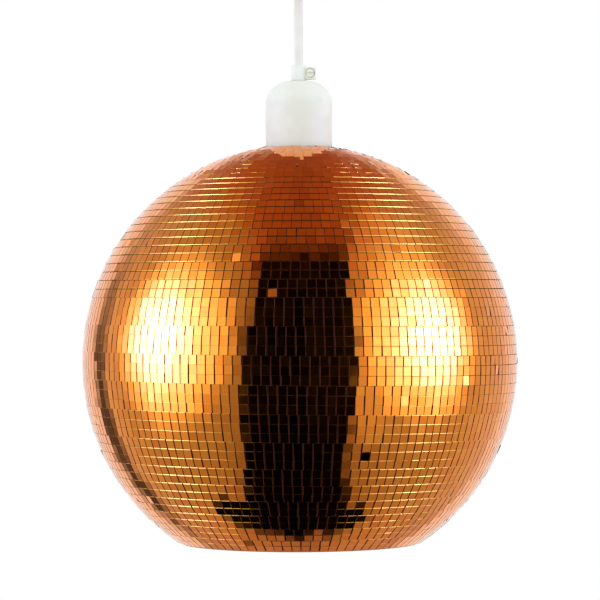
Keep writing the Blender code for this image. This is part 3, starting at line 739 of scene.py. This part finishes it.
def cap_and_grip(white, nylon):
    """The smooth cap, and the split grip on it with its clamp screw."""
    low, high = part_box("holder_cap")
    radius = high[0]
    bore = radius - CAP_WALL
    side = low[2] + CAP_SIDE
    outer = (radius - CAP_FLAT, CAP_SHOULDER)
    inner = (bore - CAP_FLAT, CAP_SHOULDER - CAP_WALL)
    top_angle = math.degrees(math.acos((CAP_HOLE - CAP_FLAT) / outer[0]))
    inner_angle = math.degrees(math.acos((CAP_HOLE - CAP_FLAT) / inner[0]))
    outline = [(bore, low[2]), (radius - SOFT_EDGE, low[2]), (radius, low[2] + SOFT_EDGE)]
    outline += arc((CAP_FLAT, side), outer, 0, top_angle)
    outline += arc((CAP_FLAT, side), inner, inner_angle, 0)
    fitted(turned("cap", outline, white), "lampholder", "holder_cap")

    top = side + CAP_SHOULDER
    low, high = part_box("cord_grip")
    outline = [(NECK_BORE, low[2]), (NIPPLE_RADIUS, low[2]), (NIPPLE_RADIUS, top + NECK_SEAT)]
    outline += [(NECK_RADIUS, top + NECK_SEAT)]
    slope = (NECK_RADIUS - NECK_SLOPE, high[2] - NECK_SLOPE)
    outline += arc(slope, (NECK_SLOPE, NECK_SLOPE), 0, 90)
    outline += [(NECK_BORE, high[2])]
    grip = turned("grip", outline, white)
    lug_start = (NECK_BORE + NECK_RADIUS) / 2
    lug_low = (lug_start, -LUG_DEPTH / 2, top + LUG_HEIGHTS[0])
    lug_high = (high[0], LUG_DEPTH / 2, top + LUG_HEIGHTS[1])
    combined(grip, "UNION", block("lug", lug_low, lug_high, white, LUG_EDGE))
    facing_front = Matrix.Rotation(math.pi / 2, 4, "X")
    screw_low, screw_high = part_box("cord_grip_screw")
    screw_x = (screw_low[0] + screw_high[0]) / 2
    screw_z = (screw_low[2] + screw_high[2]) / 2
    front = Matrix.Translation((screw_x, low[1], screw_z)) @ facing_front
    tools = (
        ("UNION", BOSS_RADIUS, -LUG_DEPTH / 2, 0.0),
        ("DIFFERENCE", POCKET_RADIUS, -POCKET_DEPTH, LUG_DEPTH),
        ("DIFFERENCE", SCREW_SHANK / 2 + SCREW_ROOM, -2 * LUG_DEPTH, LUG_DEPTH),
    )
    for operation, reach, start, end in tools:
        tool = turned("tool", [(reach, start), (reach, end)], white, closed=False)
        tool.data.transform(front)
        combined(grip, operation, tool)
    split_low = (0.0, -SPLIT_WIDTH / 2, top + SPLIT_RISE)
    split_high = (2 * high[0], SPLIT_WIDTH / 2, high[2] + LUG_DEPTH)
    combined(grip, "DIFFERENCE", block("split", split_low, split_high, white))
    fitted(grip, "lampholder", "cord_grip")

    head = SCREW_HEAD / 2
    shank = SCREW_SHANK / 2
    length = screw_high[1] - screw_low[1]
    outline = [(shank, -length), (shank, -SCREW_HEAD_HEIGHT), (head, -SCREW_HEAD_HEIGHT)]
    outline += arc((head - SCREW_EDGE, -SCREW_EDGE), (SCREW_EDGE, SCREW_EDGE), 0, 90)
    screw = turned("clamp_screw", outline, nylon, closed=False)
    slot_low = (-SCREW_HEAD, -SCREW_SLOT / 2, -SCREW_HEAD_HEIGHT / 2)
    slot_high = (SCREW_HEAD, SCREW_SLOT / 2, SCREW_HEAD_HEIGHT)
    combined(screw, "DIFFERENCE", block("slot", slot_low, slot_high, nylon))
    screw.data.transform(Matrix.Translation((screw_x, screw_low[1], screw_z)) @ facing_front)
    fitted(screw, "lampholder", "cord_grip_screw")


def rose_and_bush(white):
    """The rose's cover and the ball bush in it."""
    low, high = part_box("rose_cover")
    outer = high[0]
    bore = outer - COVER_WALL
    side = (COVER_FLAT, low[2] + COVER_CURVE)
    pivot = low[2] + PIVOT_RISE
    lip_angle = -math.degrees(math.asin(PIVOT_RISE / BUSH_SEAT))
    outline = [(bore, high[2]), (outer, high[2])]
    outline += arc(side, (outer - COVER_FLAT, COVER_CURVE), 0, -90)
    outline += arc((0, pivot), (BUSH_SEAT, BUSH_SEAT), lip_angle, 0)
    outline += [(BUSH_SEAT, pivot + BUSH_BOSS_RISE), (BUSH_BOSS, pivot + BUSH_BOSS_RISE)]
    outline += [(BUSH_BOSS, low[2] + COVER_WALL)]
    outline += arc(side, (bore - COVER_FLAT, COVER_CURVE - COVER_WALL), -90, 0)
    cover = turned("cover", outline[::-1], white)
    cover.visible_glossy = False
    fitted(cover, "ceiling_rose", "rose_cover")

    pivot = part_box("cord_bush")[0][2] + BUSH_BELOW
    low_angle = -math.degrees(math.asin(BUSH_BELOW / BUSH_RADIUS))
    high_angle = math.degrees(math.asin(BUSH_ABOVE / BUSH_RADIUS))
    outline = [(BUSH_WAIST, pivot), (BUSH_WAIST + BUSH_FLARE * BUSH_BELOW, pivot - BUSH_BELOW)]
    outline += arc((0, pivot), (BUSH_RADIUS, BUSH_RADIUS), low_angle, high_angle)
    outline += [(BUSH_WAIST + BUSH_FLARE * BUSH_ABOVE, pivot + BUSH_ABOVE + BUSH_CROWN)]
    fitted(turned("bush", outline, white), "cord_bush", "cord_bush")


def shade_and_ring(shade, white):
    """The moulded ball under the tiles, and the threaded ring that holds it up."""
    low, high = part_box("shade_shell")
    centre = (0.0, BALL_CENTRE[2])
    start = 90 - math.degrees(math.asin(SHADE_COLLAR / SHADE_RADIUS))
    inner_start = 90 - math.degrees(math.asin(SHADE_NECK / SHADE_BORE))
    lip = -math.degrees(math.asin((BALL_CENTRE[2] - low[2]) / SHADE_LIP))
    rim = lip + math.degrees(SHADE_LIP_HEIGHT / SHADE_LIP)
    neck = high[2] - SHADE_NECK_DEPTH
    outline = [(SHADE_HOLE, neck), (SHADE_HOLE, high[2]), (SHADE_COLLAR, high[2])]
    outline += arc(centre, (SHADE_RADIUS, SHADE_RADIUS), start, rim)
    outline += arc(centre, (SHADE_LIP, SHADE_LIP), rim, lip)
    outline += arc(centre, (SHADE_BORE, SHADE_BORE), lip, inner_start)
    outline += [(SHADE_NECK, neck)]
    fitted(turned("shell", outline[::-1], shade), "shade", "shade_shell")

    low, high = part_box("shade_ring")
    flange = high[0]
    wall = flange - RING_FLANGE
    bore = wall - RING_WALL
    shelf = high[2] - RING_FLANGE_HEIGHT
    flutes = flange - RING_FLUTE * (0.5 - 0.5 * np.cos(RING_FLUTES * AROUND))
    outline = [(bore, low[2]), (wall - SOFT_EDGE, low[2]), (wall, low[2] + SOFT_EDGE), (wall, shelf)]
    outline += [(flutes - SOFT_EDGE, shelf), (flutes, shelf + SOFT_EDGE), (flutes, high[2])]
    outline += thread_run(bore + SKIRT_THREAD_DEPTH, high[2], low[2], THREAD_PITCH, SKIRT_THREAD_DEPTH)
    fitted(turned("ring", outline, white), "shade_ring", "shade_ring")


def cord(made):
    """The round flex from inside the cap up through the bush, straight under the lamp's weight."""
    low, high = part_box("flex_cord")
    curve = bpy.data.curves.new("flex", "CURVE")
    curve.dimensions = "3D"
    radius = (high[0] - low[0]) / 2
    curve.bevel_depth = radius
    curve.bevel_resolution = CORD_ROUNDNESS
    curve.use_fill_caps = True
    spline = curve.splines.new("POLY")
    spline.points.add(CORD_POINTS - 1)
    for index, point in enumerate(spline.points):
        point.co = (0.0, 0.0, low[2] + (high[2] - low[2]) * index / (CORD_POINTS - 1), 1.0)
    curve.materials.append(made)
    flex = bpy.data.objects.new("flex", curve)
    bpy.context.scene.collection.objects.link(flex)
    fitted(flex, "cord", "flex_cord")


def finish_node(name, made):
    """Gives a CAD node that keeps its shape a better material."""
    materials = frame["nodes"][name].data.materials
    materials.clear()
    materials.append(made)


def softboxes(nodes, x, y, z):
    """Light of the softbox to either side and of the lamp in it."""
    forward = nodes.times(nodes.at_least(x, 0.0), RIGHT_FORWARD)
    toward = nodes.add("ShaderNodeCombineXYZ")
    for value, socket in zip((nodes.size(x), nodes.plus(y, forward), z), toward.inputs):
        nodes.link(value, socket)
    facing = nodes.add("ShaderNodeVectorMath", operation="NORMALIZE")
    nodes.link(toward.outputs[0], facing.inputs[0])
    off_softbox = nodes.angle_from(facing.outputs[0], SOFTBOX_PLACE)
    off_lamp = nodes.angle_from(facing.outputs[0], LAMP_PLACE)
    fall = nodes.math("POWER", nodes.over(off_lamp, LAMP_SPREAD), 2.0)
    lamp = nodes.times(nodes.math("EXPONENT", nodes.times(fall, -1.0)), LAMP_POWER)
    return nodes.plus(lamp, nodes.ramp(off_softbox, *SOFTBOX_EDGE, 0.0, SOFTBOX_POWER))


def tent(nodes, x, y, z, overhead):
    """Light of the tent's walls and floor, of the right softbox's wing, and of the roof."""
    aside = nodes.size(x)
    behind = nodes.at_least(nodes.minus(y, WALL_BACK), 0.0)
    walls = nodes.plus(nodes.times(behind, WALL_BACK_RISE), WALL_LIGHT)
    walls = nodes.plus(nodes.times(aside, WALL_SIDE_RISE), walls)
    underfoot = nodes.times(nodes.ramp(z, *FLOOR_HEIGHTS), nodes.ramp(y, *FLOOR_DEPTHS, FLOOR_FRONT))
    walls = nodes.plus(nodes.times(underfoot, FLOOR_LIGHT), walls)
    off_wing = nodes.size(nodes.minus(z, WING_MIDDLE))
    wing = nodes.times(nodes.ramp(y, *WING_DEPTHS), nodes.ramp(off_wing, *WING_HEIGHTS))
    wing = nodes.times(wing, nodes.ramp(x, *WING_SPAN, 0.0, WING_LIGHT))
    walls = nodes.plus(wing, walls)
    roof = nodes.plus(nodes.times(aside, ROOF_RISE), ROOF_LIGHT)
    right = nodes.times(nodes.ramp(x, *RIGHT_ROOF_SPAN), nodes.ramp(y, *RIGHT_ROOF_DEPTHS))
    roof = nodes.plus(nodes.times(right, RIGHT_ROOF), roof)
    return nodes.blend(overhead, walls, roof)


def past_frame(nodes, x, y, z):
    """Share of the light that the backdrop's dark frame leaves."""
    upright = nodes.times(nodes.ramp(z, *FRAME_TOP), nodes.ramp(z, *FRAME_FOOT))
    upright = nodes.times(upright, nodes.ramp(x, *FRAME_SIDE))
    edging = nodes.times(nodes.ramp(y, *FRAME_EDGE, 0.0, 1.0 - FRAME_SHADE), upright)
    return nodes.minus(1.0, edging)


def past_screen(nodes, x, y, z):
    """Share of the light that the black screen round the camera and its base leave."""
    above = nodes.at_least(nodes.minus(z, SCREEN_TOP), 0.0)
    below = nodes.at_least(nodes.minus(SCREEN_FOOT, z), 0.0)
    half_width = nodes.minus(SCREEN_HALF, nodes.times(above, SCREEN_TOP_TAPER))
    half_width = nodes.minus(half_width, nodes.times(below, SCREEN_FOOT_TAPER))
    off_middle = nodes.size(nodes.minus(x, nodes.times(z, SCREEN_LEAN)))
    screen = nodes.ramp(nodes.minus(half_width, off_middle), -SCREEN_EDGE, SCREEN_EDGE)
    screen = nodes.times(screen, nodes.ramp(y, *SCREEN_DEPTH))
    screen = nodes.times(screen, nodes.ramp(z, *SCREEN_END))
    drop = nodes.at_least(nodes.times(z, -1.0), BASE_EDGE)
    back = nodes.over(y, drop)
    off_base = nodes.size(nodes.minus(nodes.over(x, drop), BASE_MIDDLE))
    front_end, back_end = BASE_DEPTH
    base = nodes.ramp(off_base, BASE_HALF + BASE_EDGE, BASE_HALF - BASE_EDGE)
    base = nodes.times(base, nodes.ramp(back, front_end - BASE_EDGE, front_end + BASE_EDGE))
    base = nodes.times(base, nodes.ramp(back, back_end + BASE_EDGE, back_end - BASE_EDGE))
    dark = nodes.math("MAXIMUM", screen, base)
    return nodes.minus(1.0, nodes.times(dark, SCREEN_BLACK))


def world():
    """Plain white to the camera and to matt surfaces, and the studio tent to mirrors."""
    sky = bpy.data.worlds.new("studio")
    bpy.context.scene.world = sky
    sky.use_nodes = True
    nodes = Nodes(sky.node_tree)
    split = nodes.add("ShaderNodeSeparateXYZ")
    nodes.link(nodes.add("ShaderNodeTexCoord").outputs["Generated"], split.inputs[0])
    x, y, z = split.outputs
    aside = nodes.size(x)
    overhead = nodes.ramp(z, *ROOF_HEIGHTS)
    lit = nodes.plus(tent(nodes, x, y, z, overhead), softboxes(nodes, x, y, z))
    lit = nodes.times(lit, past_frame(nodes, x, y, z))
    seen = nodes.times(lit, past_screen(nodes, x, y, z))

    warmth = nodes.at_least(overhead, WALL_WARM)
    tint = nodes.mix(nodes.times(warmth, nodes.ramp(aside, *WARM_SPAN)), WHITE, WARM)
    tint = nodes.mix(nodes.ramp(lit, *COOL_LIGHT), tint, COOL)
    overhang = nodes.times(nodes.ramp(aside, *OVERHANG_SPAN), nodes.ramp(z, *OVERHANG_HEIGHTS))
    backdrop = nodes.ramp(nodes.minus(y, nodes.times(overhang, OVERHANG)), *BACKDROP_EDGE)

    path = nodes.add("ShaderNodeLightPath")
    mirrored = nodes.times(path.outputs["Is Glossy Ray"], nodes.minus(1.0, backdrop))
    studio_light = nodes.add("ShaderNodeBackground")
    nodes.link(tint, studio_light.inputs["Color"])
    nodes.link(seen, studio_light.inputs["Strength"])
    plain_light = nodes.add("ShaderNodeBackground")
    nodes.link(WHITE, plain_light.inputs["Color"])
    both = nodes.add("ShaderNodeMixShader")
    nodes.link(mirrored, both.inputs[0])
    nodes.link(plain_light.outputs[0], both.inputs[1])
    nodes.link(studio_light.outputs[0], both.inputs[2])
    output = nodes.add("ShaderNodeOutputWorld")
    nodes.link(both.outputs[0], output.inputs["Surface"])


def floor():
    """A pale round floor well below the lamp."""
    made, nodes = material("floor")
    tone = nodes.mix(nodes.noise(nodes.place(), FLOOR_CLOUDS), *FLOOR_TONES)
    nodes.principled(Base_Color=tone, Roughness=0.8)
    vertices = []
    for side in range(FLOOR_SIDES):
        turn = math.tau * side / FLOOR_SIDES
        vertices.append((FLOOR_RADIUS * math.cos(turn), FLOOR_RADIUS * math.sin(turn), -FLOOR_DROP))
    ground = piece("floor", vertices, [list(range(FLOOR_SIDES))], made)
    ground.visible_glossy = False


def camera():
    """A long lens, level with the upper half of the ball."""
    made = bpy.data.cameras.new("camera")
    made.lens = LENS
    made.sensor_width = SENSOR
    placed = bpy.data.objects.new("camera", made)
    bpy.context.scene.collection.objects.link(placed)
    placed.location = (CAMERA_SIDE, -CAMERA_DISTANCE, BALL_CENTRE[2] + HORIZON_OVER_BALL)
    placed.rotation_euler = (math.pi / 2, CAMERA_ROLL, 0.0)
    bpy.context.scene.camera = placed


def main():
    """The stage, a material for every CAD node, and then the pieces that take over from nodes."""
    bpy.context.scene.view_settings.view_transform = "Standard"
    camera()
    world()
    floor()
    white = plastic("white_plastic", WHITE_PLASTIC, roughness=0.55, grain=1400.0, depth=0.02 * MM)
    sheath = plastic("cord_sheath", CORD_SHEATH, roughness=0.6, grain=900.0, depth=0.03 * MM)
    nylon = plastic("nylon", NYLON, roughness=0.45, grain=1400.0, depth=0.02 * MM)
    heatproof = plastic("heatproof_moulding", HEATPROOF, roughness=0.55, grain=600.0, depth=0.04 * MM)
    nickel = metal("nickel_plate", NICKEL, roughness=0.18)
    by_slot = {
        "white_plastic": white,
        "cord_sheath": sheath,
        "nylon": nylon,
        "heatproof_insert": heatproof,
        "brass": metal("brass", BRASS, roughness=0.25),
        "plated_shell": nickel,
        "brown_core": plastic("brown_core", BROWN_CORE, roughness=0.5, grain=900.0, depth=0.02 * MM),
        "blue_core": plastic("blue_core", BLUE_CORE, roughness=0.5, grain=900.0, depth=0.02 * MM),
        "shade_plastic": shade_plastic(),
        "copper_mirror": copper_mirror(),
    }
    for name in frame["record"]["behaviour"]["bodies"]["ceiling_rose"]:
        frame["nodes"][name].visible_glossy = False  # far above the mirrors in the photograph
    for subpart in frame["record"]["subparts"]:
        finish_node(subpart["node"], by_slot[subpart["material_slot"]])
    cord(sheath)
    lampholder_threads(white, nickel)
    cap_and_grip(white, nylon)
    rose_and_bush(white)
    shade_and_ring(by_slot["shade_plastic"], white)
    mirror_strips(by_slot["copper_mirror"], (row_edges(), tile_sides()))


main()
